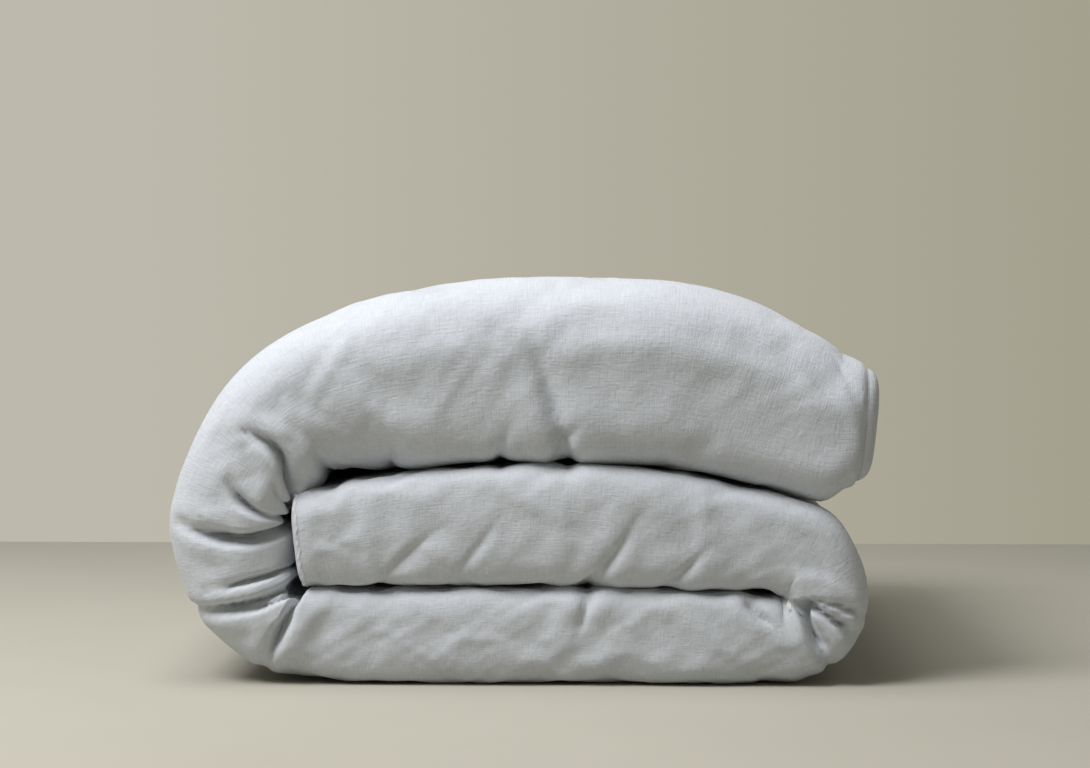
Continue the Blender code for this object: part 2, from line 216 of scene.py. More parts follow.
# Where a place of the flat duvet lies in the pile: across the duvet it runs straight, round
# half a circle at the roll and straight back, and that plane stands square to the path.
def foldedPlace(s, u, level):
    s, u, level = np.broadcast_arrays(s, u, level)
    half = halfThickness(s)
    radius = pile["leafGap"] + (half - pile["leafGap"]) / 2 + level
    rollY = -pile["depth"] / 2 + half
    backY = pile["depth"] / 2 - pile["seamStandout"]
    angle = np.clip(u - 1.0, 0.0, 1.0) * math.pi
    shareBack = np.where(u < 1.5, np.clip(u, 0, 1), np.clip(3.0 - u, 0, 1))
    y = backY + (rollY - backY) * shareBack - radius * np.sin(angle)
    # The roll is a circle where it is free and nears a rounded box where it is pressed.
    square = rollShape["free"] + (rollShape["pressed"] - rollShape["free"]) * pressedShare(s, u)
    cos, sin = np.cos(angle), np.sin(angle)
    press = (np.abs(cos) ** square + np.abs(sin) ** square) ** (-1 / square)
    y = y - radius * (press - 1) * sin
    off = radius * cos * press
    x, z = np.interp(s, along, curve[:, 0]), np.interp(s, along, curve[:, 1])
    runX, runZ = np.interp(s, along, direction[:, 0]), np.interp(s, along, direction[:, 1])
    return np.stack([x - runZ * off, y, z + runX * off], axis=-1)


# Where a row of filling ends, all rows being of one length.
def rowEdge(row):
    return duvetLength * row / pile["rows"]


foldStart = rowEdge(pile["baseRows"])
foldMiddle = rowEdge(pile["baseRows"] + 1)
foldEnd = rowEdge(pile["baseRows"] + pile["foldRows"])


# The cover's cloth, as a grid of places on the flat duvet.
coverGrid = {
    "rowPitch": 0.0036,
    "edgeSteps": 14,
    "leafSteps": 40,
    "nearRollSteps": 28,
    "rollSteps": 64,
    "nearRoll": 0.80,
    "leafWidth": 0.59,
    "rollWidth": 0.20,
}


# Even steps between the places where the duvet is divided.
def alongRows(pitch):
    stops = [0.0, foldStart, foldMiddle, foldEnd, duvetLength]
    parts = []
    for low, high in zip(stops, stops[1:]):
        parts.append(np.linspace(low, high, round((high - low) / pitch) + 1)[:-1])
    return np.concatenate(parts + [[duvetLength]])


# Closer together by the cosine near the sewn edge, where the leaf is round, and at the roll.
def acrossColumns(grid):
    taper = pile["edgeTaper"] / grid["leafWidth"]
    turn = np.linspace(0.0, math.pi / 2, grid["edgeSteps"] + 1)[:-1]
    flat = np.linspace(taper, grid["nearRoll"], grid["leafSteps"] + 1)[:-1]
    near = np.linspace(grid["nearRoll"], 1.0, grid["nearRollSteps"] + 1)[:-1]
    leaf = np.concatenate([taper * (1 - np.cos(turn)), flat, near])
    roll = np.linspace(1.0, 2.0, grid["rollSteps"] + 1)
    return np.concatenate([leaf, roll, 3.0 - leaf[::-1]])


# Unit normals of a grid of points, from the cross product of its two slopes.
def gridNormals(points):
    normals = np.cross(np.gradient(points, axis=0), np.gradient(points, axis=1))
    length = np.linalg.norm(normals, axis=-1, keepdims=True)
    return normals / np.maximum(length, 1e-9)


# The same, all turned away from the middle of the leaf.
def normalsAway(face):
    normals = gridNormals(face)
    return -normals if (normals * (face - middleFace)).sum() < 0 else normals


# A sum of plane waves of mixed length and direction, about -1 to 1.
def softWaves(points, seed, shortest, longest, count):
    random = np.random.default_rng(seed)
    heading = random.normal(size=(count, 3))
    heading /= np.linalg.norm(heading, axis=1)[:, None]
    length = random.uniform(shortest, longest, count)
    phase = random.uniform(0.0, 2 * math.pi, count)
    waves = np.sin(points @ (heading / length[:, None] * 2 * math.pi).T + phase)
    return waves.sum(axis=-1) / math.sqrt(count * 2)


rowPlaces = alongRows(coverGrid["rowPitch"])[:, None]
columnPlaces = acrossColumns(coverGrid)[None, :]
leafReach = leafHalf(rowPlaces, columnPlaces)
middleFace = foldedPlace(rowPlaces, columnPlaces, 0.0)
outerFace = foldedPlace(rowPlaces, columnPlaces, leafReach)
innerFace = foldedPlace(rowPlaces, columnPlaces, -leafReach)
print(f"cover grid {rowPlaces.size} x {columnPlaces.size}")

# 1 where the outer cloth is free, 0 where it lies on another layer or on the floor.
foldsAndFlap = np.maximum(
    smoothStep(foldStart - 0.05, foldStart + 0.05, rowPlaces),
    between(rowPlaces, *zones["rightFoldFree"]),
)
onRoll = between(columnPlaces, *acrossZones["roll"])
upperLeaf = 1 - smoothStep(*acrossZones["upperLeaf"], columnPlaces)
freeShare = np.maximum(onRoll, foldsAndFlap * upperLeaf)


# The layers sink into each other: where two of them face, both are moved towards the place
# half way between, as far as it goes within the reach, and fully only behind the front roll.
pressing = {"reach": 0.020, "apart": 0.0006, "ramp": 0.45, "soften": 9, "samples": 240}
# Each pressed side: its place across the duvet, then its stretch along it with fades.
pressedSides = {
    "middleTop": (0.5, -0.02, -0.01, 0.45, 0.53),
    "flapUnder": (2.5, 1.33, 1.43, 1.82, 1.84),
    "middleUnder": (2.5, -0.02, -0.01, 0.40, 0.46),
    "bottomTop": (2.5, 0.58, 0.64, 0.88, 1.03),
}


# Its rows, how far each of its places moves, and its (x, z) line behind the roll.
def pressedSide(name):
    u, start, full, fading, end = pressedSides[name]
    s = rowPlaces[:, 0]
    rows = np.flatnonzero((s >= start) & (s <= end))
    column = int(np.abs(columnPlaces[0] - u).argmin())
    fade = between(s[rows], start, full, fading, end)
    share = smoothStep(1.5, 1.5 + pressing["ramp"], columnPlaces[0])
    if u < 1.5:
        share = 1 - smoothStep(1.5 - pressing["ramp"], 1.5, columnPlaces[0])
    order = rows[np.argsort(outerFace[rows, column, 0])]
    profile = outerFace[order, column, 0].copy(), outerFace[order, column, 2].copy()
    return rows, fade[:, None] * share[None, :], profile


# Moves both sides by half the gap between their lines, evened out along x.
def pressTogether(lower, upper):
    lowRows, lowShare, lowLine = pressedSide(lower)
    highRows, highShare, highLine = pressedSide(upper)
    start, end = max(lowLine[0][0], highLine[0][0]), min(lowLine[0][-1], highLine[0][-1])
    x = np.linspace(start, end, pressing["samples"])
    move = (np.interp(x, *highLine) - np.interp(x, *lowLine) - pressing["apart"]) / 2
    move = pressing["reach"] * np.tanh(np.maximum(move, 0.0) / pressing["reach"])
    width = np.ones(pressing["soften"]) / pressing["soften"]
    move = np.convolve(np.pad(move, pressing["soften"] // 2, mode="edge"), width, mode="valid")
    outerFace[lowRows, :, 2] += np.interp(outerFace[lowRows, :, 0], x, move) * lowShare
    outerFace[highRows, :, 2] -= np.interp(outerFace[highRows, :, 0], x, move) * highShare


pressTogether("middleTop", "flapUnder")
pressTogether("bottomTop", "middleUnder")
print("layers pressed together")

# Slow swells of the filling, felt through the cloth.
swells = {"seed": 11, "shortest": 0.10, "longest": 0.30, "count": 26, "height": 0.0017}


# Creases on the front, each a curve with three handles from its deep end to its shallow one:
# x, z of the start, the middle handle and the end, then its depth and its width, in metres.
leftPleats = [
    (-0.215, 0.167, -0.209, 0.225, -0.255, 0.238, 0.023, 0.0058),
    (-0.205, 0.164, -0.233, 0.167, -0.229, 0.198, 0.014, 0.0048),
    (-0.207, 0.156, -0.254, 0.155, -0.270, 0.190, 0.021, 0.0058),
    (-0.209, 0.153, -0.259, 0.126, -0.318, 0.152, 0.027, 0.0064),
    (-0.205, 0.112, -0.243, 0.102, -0.293, 0.089, 0.018, 0.0052),
    (-0.203, 0.103, -0.249, 0.071, -0.310, 0.071, 0.025, 0.0060),
    (-0.209, 0.095, -0.219, 0.076, -0.266, 0.069, 0.014, 0.0048),
    (-0.203, 0.092, -0.213, 0.078, -0.246, 0.012, 0.025, 0.0060),
    (-0.275, 0.145, -0.286, 0.143, -0.305, 0.160, 0.005, 0.0046),
]
rightPleats = [
    (0.263, 0.075, 0.273, 0.051, 0.292, 0.016, 0.024, 0.0058),
    (0.267, 0.079, 0.292, 0.065, 0.313, 0.048, 0.018, 0.0052),
    (0.275, 0.082, 0.304, 0.077, 0.321, 0.064, 0.012, 0.0046),
    (0.216, 0.076, 0.221, 0.068, 0.239, 0.056, 0.008, 0.0052),
]
layerCreases = [
    (0.055, 0.090, 0.080, 0.105, 0.109, 0.157, 0.0055, 0.0070),
    (0.133, 0.092, 0.152, 0.105, 0.174, 0.130, 0.0045, 0.0065),
    (0.046, 0.202, 0.045, 0.225, 0.012, 0.323, 0.0095, 0.0095),
    (0.033, 0.211, 0.038, 0.231, 0.056, 0.244, 0.005, 0.0060),
    (0.063, 0.089, 0.064, 0.078, 0.053, 0.046, 0.006, 0.0060),
    (0.309, 0.229, 0.299, 0.265, 0.249, 0.313, 0.002, 0.0060),
    (0.321, 0.244, 0.316, 0.275, 0.284, 0.318, 0.002, 0.0055),
    (-0.137, 0.087, -0.117, 0.118, -0.077, 0.145, 0.0038, 0.0080),
    (-0.068, 0.094, -0.043, 0.123, -0.018, 0.160, 0.0028, 0.0080),
    (-0.121, 0.198, -0.126, 0.207, -0.119, 0.224, 0.0035, 0.0060),
    (-0.176, 0.189, -0.189, 0.201, -0.191, 0.224, 0.005, 0.0065),
    (-0.018, 0.202, -0.023, 0.215, -0.008, 0.244, 0.004, 0.0060),
]
creaseStyle = {
    "steps": 40,
    "power": 1.6,
    "shoulder": 0.30,
    "shoulderAt": 2.9,
    "shoulderWidth": 1.9,
    "overhang": 0.62,
    "narrowing": 0.30,
    "fadeFrom": 0.55,
    "fadeShare": 0.85,
    "footReach": 0.25,
    "backFrom": 0.17,
    "backTo": 0.21,
}


# How far the creases push the cloth in: each a dip, exp(-(d/w)^1.6), narrower on its upper
# side so that the cloth above hangs over it, with a raised shoulder either side,
# exp(-((d - 2.9w)/1.9w)^2), fading towards its far end and, by footShare, at its foot.
def creaseDepth(points, creases, footShare=1.0):
    style = creaseStyle
    depth = np.zeros(points.shape[:-1])
    t = np.linspace(0.0, 1.0, style["steps"])
    for x0, z0, x1, z1, x2, z2, deep, width in creases:
        lineX = (1 - t) ** 2 * x0 + 2 * t * (1 - t) * x1 + t * t * x2
        lineZ = (1 - t) ** 2 * z0 + 2 * t * (1 - t) * z1 + t * t * z2
        alongX, alongZ = np.gradient(lineX), np.gradient(lineZ)
        step = np.hypot(alongX, alongZ)
        alongX, alongZ = alongX / step, alongZ / step
        awayX, awayZ = points[..., 0, None] - lineX, points[..., 2, None] - lineZ
        nearest = np.hypot(awayX, awayZ).argmin(axis=-1)
        awayX = np.take_along_axis(awayX, nearest[..., None], axis=-1)[..., 0]
        awayZ = np.take_along_axis(awayZ, nearest[..., None], axis=-1)[..., 0]
        sideways = awayZ * alongX[nearest] - awayX * alongZ[nearest]
        beyond = np.abs(awayX * alongX[nearest] + awayZ * alongZ[nearest]) - step[nearest] / 2
        away = np.hypot(sideways, np.maximum(beyond, 0.0))
        above = np.sign(sideways) * alongX[nearest]
        at = t[nearest]
        fade = 1 - smoothStep(style["fadeFrom"], 1.0, at) * style["fadeShare"]
        fade = fade * (footShare + (1 - footShare) * smoothStep(0.0, style["footReach"], at))
        reach = width * (1 - style["narrowing"] * at)
        sharp = 1 - (1 - style["overhang"]) * smoothStep(-0.3, 0.6, above)
        dip = np.exp(-((away / (reach * sharp)) ** style["power"]))
        beside = (away - style["shoulderAt"] * reach) / (style["shoulderWidth"] * reach)
        depth += deep * fade * (dip - style["shoulder"] * np.exp(-(beside**2)))
    return depth


# The largest value within so many places of the grid either way.
def deepest(values, reach):
    for axis in (0, 1):
        for _ in range(reach):
            ahead, behind = np.roll(values, 1, axis), np.roll(values, -1, axis)
            values = np.maximum(values, np.maximum(ahead, behind))
    return np.maximum(values, 0.0)


outerNormals = normalsAway(outerFace)
front = smoothStep(creaseStyle["backFrom"], creaseStyle["backTo"], -outerFace[..., 1])
front = front * onRoll
swell = softWaves(
    outerFace, swells["seed"], swells["shortest"], swells["longest"], swells["count"]
)
swell = swells["height"] * freeShare * swell
# The flap's end is rounded off: a quarter of an ellipse over its last stretch.
endRound = {"over": 0.030, "drop": 0.009, "steepest": 0.98, "fullLeaf": 0.02}
nearEnd = np.clip((rowPlaces - (duvetLength - endRound["over"])) / endRound["over"], 0.0, 1.0)
rounding = 1 - np.sqrt(1 - endRound["steepest"] * nearEnd**2)
swell = swell - endRound["drop"] * rounding * np.minimum(1.0, leafReach / endRound["fullLeaf"])
swelledFace = outerFace + outerNormals * swell[..., None]

# The cover is cut a little larger than what fills it. The slack cloth is let go on a coarser
# grid: held where it lies on itself, softly carried by the filling elsewhere, and blown out
# slightly, so it settles into its own shallow rumples. Its moves are then read back.
slackCloth = {
    "step": 3,
    "frames": 14,
    "slack": 0.020,
    "pressure": 1.0,
    "carried": 0.20,
    "bend": 0.08,
    "stretch": 12,
    "shear": 4,
    "damping": 4,
    "mass": 0.25,
    "quality": 5,
    "evenings": 2,
    "mostMove": 0.0022,
}


# Every place in steps of so many, from the low one to the high one, and always the last.
def thinned(low, high, step):
    return np.unique(np.append(np.arange(low, high + 1, step), high))


# The four-sided cells between the numbers of a grid.
def cellsOf(grid):
    corners = [grid[:-1, :-1], grid[1:, :-1], grid[1:, 1:], grid[:-1, 1:]]
    return np.stack(corners, axis=-1).reshape(-1, 4)


# Runs the cloth on a grid of points and gives how far each of them moved.
def letGo(points, carried):
    rows, columns = points.shape[:2]
    faces = cellsOf(np.arange(rows * columns).reshape(rows, columns))
    mesh = bpy.data.meshes.new("slack")
    mesh.from_pydata(points.reshape(-1, 3).tolist(), [], faces[:, ::turnedOut].tolist())
    sheet = bpy.data.objects.new("slack", mesh)
    bpy.context.scene.collection.objects.link(sheet)
    group = sheet.vertex_groups.new(name="carried")
    levels = np.round(carried.reshape(-1), 2)
    for level in np.unique(levels):
        group.add(np.flatnonzero(levels == level).tolist(), float(level), "REPLACE")
    cloth = sheet.modifiers.new("cloth", "CLOTH")
    settings = cloth.settings
    settings.quality = slackCloth["quality"]
    settings.mass = slackCloth["mass"]
    settings.tension_stiffness = settings.compression_stiffness = slackCloth["stretch"]
    settings.shear_stiffness = slackCloth["shear"]
    settings.bending_stiffness = slackCloth["bend"]
    settings.air_damping = slackCloth["damping"]
    settings.shrink_min = settings.shrink_max = -slackCloth["slack"]
    settings.vertex_group_mass = "carried"
    settings.pin_stiffness = 1.0
    settings.use_pressure = True
    settings.uniform_pressure_force = slackCloth["pressure"]
    settings.effector_weights.gravity = 0
    cloth.collision_settings.use_collision = False
    scene = bpy.context.scene
    for step in range(1, slackCloth["frames"] + 1):
        scene.frame_set(step)
    settled = sheet.evaluated_get(bpy.context.evaluated_depsgraph_get()).data
    place = np.empty(rows * columns * 3, np.float32)
    settled.vertices.foreach_get("co", place)
    bpy.data.objects.remove(sheet, do_unlink=True)
    bpy.data.meshes.remove(mesh)
    scene.frame_set(1)
    return place.reshape(rows, columns, 3) - points


# Reads the coarse moves back onto the full grid in straight steps, then evens them out.
def readBack(moves, rows, columns, shape):
    wide = np.empty((len(rows), shape[1], 3))
    full = np.empty((shape[0], shape[1], 3))
    for axis in range(3):
        for row in range(len(rows)):
            wide[row, :, axis] = np.interp(np.arange(shape[1]), columns, moves[row, :, axis])
        for column in range(shape[1]):
            full[:, column, axis] = np.interp(np.arange(shape[0]), rows, wide[:, column, axis])
    for _ in range(slackCloth["evenings"]):
        full[1:-1] = (full[:-2] + 2 * full[1:-1] + full[2:]) / 4
        full[:, 1:-1] = (full[:, :-2] + 2 * full[:, 1:-1] + full[:, 2:]) / 4
    return full


turnedOut = 1 if (gridNormals(outerFace) * outerNormals).sum() < 0 else -1
simRows = thinned(0, rowPlaces.size - 1, slackCloth["step"])
simColumns = thinned(0, columnPlaces.size - 1, slackCloth["step"])
held = np.where(freeShare > 0.02, slackCloth["carried"], 1.0)
held = np.maximum(held, 1 - smoothStep(0.0, 0.5, freeShare) * (1 - slackCloth["carried"]))
held[:, [0, -1]] = 1.0
held[[0, -1]] = 1.0
simGrid = np.ix_(simRows, simColumns)
moved = letGo(swelledFace[simGrid], held[simGrid])
length = np.linalg.norm(moved, axis=-1, keepdims=True)
most = slackCloth["mostMove"]
moved *= most * np.tanh(length / most) / np.maximum(length, 1e-9)
print(f"cloth settled, moved {length.mean() * 1000:.1f} mm, most {length.max() * 1000:.1f} mm")
moved = readBack(moved, simRows, simColumns, freeShare.shape)
moved *= smoothStep(0.0, 0.3, freeShare)[..., None]

# How deep a crease and how high the ridge beside it may get, and the lowest place of all.
creaseLimits = {
    "deepest": 0.026,
    "leafShare": 0.90,
    "knee": 4,
    "ridge": 0.0045,
    "lowest": 0.0004,
    "insertReach": 5,
    "footShare": 0.35,
}
onLeftFold = smoothStep(0.93, 1.00, rowPlaces)
onRightFold = between(rowPlaces, *zones["rightFoldCreased"])
creased = front * (
    onLeftFold * creaseDepth(swelledFace, leftPleats)
    + onRightFold * creaseDepth(swelledFace, rightPleats)
    + creaseDepth(swelledFace, layerCreases, creaseLimits["footShare"])
)
deepestDip = np.minimum(creaseLimits["deepest"], leafReach * creaseLimits["leafShare"])
knee, ridge = creaseLimits["knee"], creaseLimits["ridge"]
tooDeep = np.maximum(creased, 0) / np.maximum(deepestDip, 1e-6)
capped = creased / (1 + tooDeep**knee) ** (1 / knee)
creased = np.where(creased > 0, capped, ridge * np.tanh(creased / ridge))
outerFace = swelledFace + moved - outerNormals * creased[..., None]
outerFace[..., 2] = np.maximum(outerFace[..., 2], creaseLimits["lowest"])
inward = np.maximum(-(moved * outerNormals).sum(axis=-1), 0.0)
# The insert keeps below the deepest crease near each place.
lowered = deepest(creased + inward, creaseLimits["insertReach"])
insertFace = swelledFace - outerNormals * lowered[..., None]
print("creases and swells drawn")


# A colour code as linear light: ((c + 0.055) / 1.055)^2.4, or c / 12.92 near black.
def hexColour(code):
    parts = np.array([int(code[k : k + 2], 16) for k in (1, 3, 5)]) / 255
    linear = np.where(parts <= 0.04045, parts / 12.92, ((parts + 0.055) / 1.055) ** 2.4)
    return (*linear.tolist(), 1.0)


# Adds one node, sets its inputs and properties and joins its links.
def addNode(material, kind, settings=None, links=None, **properties):
    node = material.node_tree.nodes.new(kind)
    for key, value in properties.items():
        setattr(node, key, value)
    for key, value in (settings or {}).items():
        node.inputs[key].default_value = value
    for key, socket in (links or {}).items():
        material.node_tree.links.new(socket, node.inputs[key])
    return node


def blankMaterial(name):
    material = bpy.data.materials.new(name)
    material.use_nodes = True
    material.node_tree.nodes.clear()
    return material


# Soft noise of 0 to 1, so many to the metre, from a place or a way on the cloth.
def noiseOf(material, where, scale, detail, rough, twist=0.0):
    settings = {"Scale": scale, "Detail": detail, "Roughness": rough, "Distortion": twist}
    return addNode(material, "ShaderNodeTexNoise", settings, {"Vector": where}).outputs["Fac"]


# A normal tilted by a height, on top of another one where there is one.
def bumpOf(material, height, strength, distance, below=None):
    links = {"Height": height}
    if below is not None:
        links["Normal"] = below
    settings = {"Strength": strength, "Distance": distance}
    return addNode(material, "ShaderNodeBump", settings, links).outputs["Normal"]


# A vector multiplied along its three directions.
def scaled(material, where, scale):
    turned = addNode(material, "ShaderNodeMapping", {"Scale": scale}, {"Vector": where})
    return turned.outputs["Vector"]


def clothWayOf(material):
    return addNode(material, "ShaderNodeUVMap", uv_map="clothWay").outputs["UV"]


def placeOf(material):
    return addNode(material, "ShaderNodeTexCoord").outputs["Object"]


# Closes a material with one surface of these settings, colour and normal.
def addSurface(material, settings, colour, normal=None):
    links = {"Base Color": colour}
    if normal is not None:
        links["Normal"] = normal
    surface = addNode(material, "ShaderNodeBsdfPrincipled", settings, links)
    addNode(
        material, "ShaderNodeOutputMaterial", links={"Surface": surface.outputs["BSDF"]}
    )
    return material


# Mixes between colours along a 0 to 1 value.
def toneRamp(material, factor, stops):
    ramp = addNode(material, "ShaderNodeValToRGB", links={"Fac": factor})
    elements = ramp.color_ramp.elements
    while len(elements) < len(stops):
        elements.new(0.5)
    for element, (place, colour) in zip(elements, stops):
        element.position, element.color = place, hexColour(colour)
    return ramp.outputs["Color"]


# Plain-woven flax, yarn dyed pale grey, stone washed and tumbled: it looks dull and dry, with
# thick and thin yarns both ways and a faint crumple from the wash. Real yarns are 0.5 mm
# apart; they are drawn at 1.5 mm so that they show at all.
washedLinen = {
    "pale": "#CDD1D6",
    "grey": "#C2C6CB",
    "dim": "#B4B8BD",
    "yarnPitch": 0.0015,
    "slubLength": 0.014,
    "yarnDepth": 0.00055,
    "crumple": 0.011,
    "crumpleDepth": 0.0030,
    "clouds": 9.0,
    "roughness": 0.86,
    "sheen": 0.22,
}


# The weave is two noises, each long one way, added up; wider noises make cloud and crumple.
def linenCloth(name, look):
    material = blankMaterial(name)
    way, place = clothWayOf(material), placeOf(material)
    thin, long = 1 / look["yarnPitch"], 1 / look["slubLength"]
    yarns = [
        noiseOf(material, scaled(material, way, size), 1.0, 2.0, 0.55)
        for size in ((long, thin, 1.0), (thin, long, 1.0))
    ]
    weave = addNode(
        material, "ShaderNodeMath", links={0: yarns[0], 1: yarns[1]}, operation="ADD"
    ).outputs["Value"]
    cloudy = noiseOf(material, place, look["clouds"], 3.0, 0.5)
    tone = addNode(
        material, "ShaderNodeMapRange",
        {"From Min": 0.62, "From Max": 1.38, "To Min": 0.20, "To Max": 0.80},
        {"Value": weave},
    ).outputs["Result"]
    both = addNode(
        material, "ShaderNodeMix", {"Factor": 0.35}, {"A": tone, "B": cloudy},
        data_type="FLOAT",
    ).outputs["Result"]
    colour = toneRamp(
        material, both, [(0.2, look["dim"]), (0.5, look["grey"]), (0.8, look["pale"])]
    )
    crumple = noiseOf(material, place, 1 / look["crumple"], 3.0, 0.62, 0.5)
    dented = bumpOf(material, crumple, 0.24, look["crumpleDepth"])
    woven = bumpOf(material, weave, 0.65, look["yarnDepth"], dented)
    settings = {
        "Roughness": look["roughness"], "Sheen Weight": look["sheen"],
        "Sheen Roughness": 0.5, "Specular IOR Level": 0.2,
    }
    return addSurface(material, settings, colour, woven)


linenMaterial = linenCloth("stone washed linen", washedLinen)
# The same cloth where it is turned, sewn and pressed, in paler tones: painted highlight where the
# raised seam ridge catches the light.
seamHighlightMaterial = linenCloth(
    "sewn linen edge", {**washedLinen, "pale": "#D8D9DD", "grey": "#CDCED3", "dim": "#C1C2C7"}
)


# Woven, loose and turned finishes of the pieces inside and behind the cover. A plain weave
# is two crossed bands; each is as wide as two yarns, drawn wider where they would not show.
insideFinishes = {
    "percale": {"name": "bleached cotton percale", "dark": "#D9D6CD", "pale": "#F1EFE8",
                "pitch": 0.0012, "roughness": 0.82, "sheen": 0.12, "depth": 0.00025},
    "voile": {"name": "unbleached cotton voile", "dark": "#CFCBBF", "pale": "#E6E2D7",
              "pitch": 0.0016, "roughness": 0.88, "sheen": 0.05, "depth": 0.00035},
    "tape": {"name": "twilled cotton tape", "dark": "#C9C5B9", "pale": "#E0DCD1",
             "pitch": 0.0018, "roughness": 0.86, "sheen": 0.08, "depth": 0.00040},
}


# Two crossed bands of waves, multiplied together.
def wovenCotton(look):
    material = blankMaterial(look["name"])
    way = clothWayOf(material)
    bands = [
        addNode(
            material, "ShaderNodeTexWave",
            {"Scale": 1 / (2 * look["pitch"]) / 3.18, "Distortion": 0.6, "Detail": 1.0},
            {"Vector": way}, bands_direction=direction,
        ).outputs["Fac"]
        for direction in ("X", "Y")
    ]
    weave = addNode(
        material, "ShaderNodeMath", links={0: bands[0], 1: bands[1]}, operation="MULTIPLY"
    ).outputs["Value"]
    colour = toneRamp(material, weave, [(0.0, look["dark"]), (0.7, look["pale"])])
    relief = bumpOf(material, weave, 0.5, look["depth"])
    settings = {
        "Roughness": look["roughness"], "Sheen Weight": look["sheen"],
        "Specular IOR Level": 0.25,
    }
    return addSurface(material, settings, colour, relief)


# A grainy finish from noise on the piece's own place: fibre batting is soft white tufts a few
# millimetres across, and corozo is a turned and polished nut with fine streaks and a low gloss.
def grainyFinish(name, dark, pale, grain, roughness, depth, sheen=0.0, stretch=(1, 1, 1)):
    material = blankMaterial(name)
    turned = scaled(material, placeOf(material), stretch)
    tufts = noiseOf(material, turned, 1 / grain, 5.0, 0.65, 0.8)
    colour = toneRamp(material, tufts, [(0.25, dark), (0.7, pale)])
    relief = bumpOf(material, tufts, 0.6, depth)
    settings = {"Roughness": roughness, "Sheen Weight": sheen}
    return addSurface(material, settings, colour, relief)


percaleMaterial = wovenCotton(insideFinishes["percale"])
voileMaterial = wovenCotton(insideFinishes["voile"])
tapeMaterial = wovenCotton(insideFinishes["tape"])
fibreMaterial = grainyFinish(
    "carded hollow fibre", "#D8D6D0", "#F4F3EF", 0.006, 0.95, 0.004, sheen=0.3
)
buttonMaterial = grainyFinish(
    "turned corozo nut", "#7A746A", "#A39C90", 0.004, 0.38, 0.0001, stretch=(1, 5, 1)
)


# A grid of points as a mesh of four-sided faces, wound to face the way it is told to. A
# second grid under the first is joined to it by walls round the four sides.
def gridPiece(name, points, material, facing=None, uv=None, normals=None, under=None):
    rows, columns = points.shape[:2]
    index = np.arange(rows * columns).reshape(rows, columns)
    faces, vertices = cellsOf(index), points.reshape(-1, 3)
    if under is not None:
        lower = index + index.size
        vertices = np.concatenate([vertices, under.reshape(-1, 3)])
        faces = np.concatenate([
            faces,
            cellsOf(lower)[:, ::-1],
            cellsOf(np.stack([index[0], lower[0]])[::-1]),
            cellsOf(np.stack([index[-1], lower[-1]])),
            cellsOf(np.stack([index[:, 0], lower[:, 0]])),
            cellsOf(np.stack([index[:, -1], lower[:, -1]])[::-1]),
        ])
        a, b, c, d = (vertices[faces[:, k]] for k in range(4))
        outward = (a * np.cross(b, c)).sum() + (a * np.cross(c, d)).sum()
    else:
        across = np.cross(
            vertices[faces[:, 2]] - vertices[faces[:, 0]],
            vertices[faces[:, 3]] - vertices[faces[:, 1]],
        )
        outward = (across * facing.reshape(-1, 3)[faces[:, 0]]).sum()
    if outward < 0:
        faces = faces[:, ::-1]
    mesh = bpy.data.meshes.new(name)
    mesh.from_pydata(vertices.tolist(), [], faces.tolist())
    mesh.update()
    mesh.shade_smooth()
    if uv is not None:
        layer = mesh.uv_layers.new(name="clothWay")
        flat = uv.reshape(-1, 2)
        if under is not None:
            flat = np.concatenate([flat, flat])
        layer.data.foreach_set("uv", flat[faces.reshape(-1)].reshape(-1).astype(np.float32))
    if normals is not None:
        mesh.normals_split_custom_set_from_vertices(normals.reshape(-1, 3).tolist())
    mesh.materials.append(material)
    piece = bpy.data.objects.new(name, mesh)
    bpy.context.scene.collection.objects.link(piece)
    return piece


# Two ways on the cloth, in metres, spread over one grid.
def wayGrid(along, across):
    return np.stack(np.broadcast_arrays(along, across), axis=-1)


# A piece rides on one body, or, on the fold and the top, is only fixed in its place in the world.
def moveWith(piece, stretch):
    if stretch == "Base":
        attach(piece, "folded_base")
    elif stretch == "Fold":
        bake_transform(piece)
    elif stretch == "Top":
        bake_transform(piece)
    else:
        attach(piece, stretch)


rowIndex = {
    place: int(np.abs(rowPlaces[:, 0] - place).argmin())
    for place in (0.0, foldStart, foldMiddle, duvetLength)
}
stretches = [
    ("Base", 0.0, foldStart, ("base",)),
    ("Fold", foldStart, foldMiddle, ("fold",)),
    ("Top", foldMiddle, duvetLength, ("top",)),
]


def stretchRows(low, high):
    return slice(rowIndex[low], rowIndex[high] + 1)


# The weave runs along and across the flat duvet, in metres.
leafWide, rollWide = coverGrid["leafWidth"], coverGrid["rollWidth"]
roundRoll = leafWide + (columnPlaces - 1) * rollWide
pastRoll = leafWide + rollWide + (columnPlaces - 2) * leafWide
acrossWay = np.where(columnPlaces < 2, roundRoll, pastRoll)
acrossWay = np.where(columnPlaces < 1, columnPlaces * leafWide, acrossWay)
clothWay = wayGrid(rowPlaces, acrossWay)
outerNormals = normalsAway(outerFace)

for stretch, low, high, parts in stretches:
    rows = stretchRows(low, high)
    panel = gridPiece(
        "coverOuter" + stretch, outerFace[rows], linenMaterial, outerNormals[rows],
        clothWay[rows], outerNormals[rows],
    )
    moveWith(panel, stretch)
    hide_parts(*("cover_outer_" + part for part in parts))
print("outer cover made")


# The duvet's two ends: the inner panel comes round the insert's end to meet the outer one,
# so a leaf's end is half an ellipse from one face to the other, standing out by its bulge.
ends = {
    "steps": 11,
    "middleBulge": 0.006,
    "openingBulge": 0.011,
    "closing": 0.012,
    "bulgePower": 2.6,
    "lapPower": 6,
    "wayRound": 0.05,
}


# The unit direction out of the duvet's end, from its last two rows.
def wayOut(row):
    step = middleFace[0] - middleFace[1] if row == 0 else middleFace[-1] - middleFace[-2]
    return step / np.linalg.norm(step, axis=-1, keepdims=True)


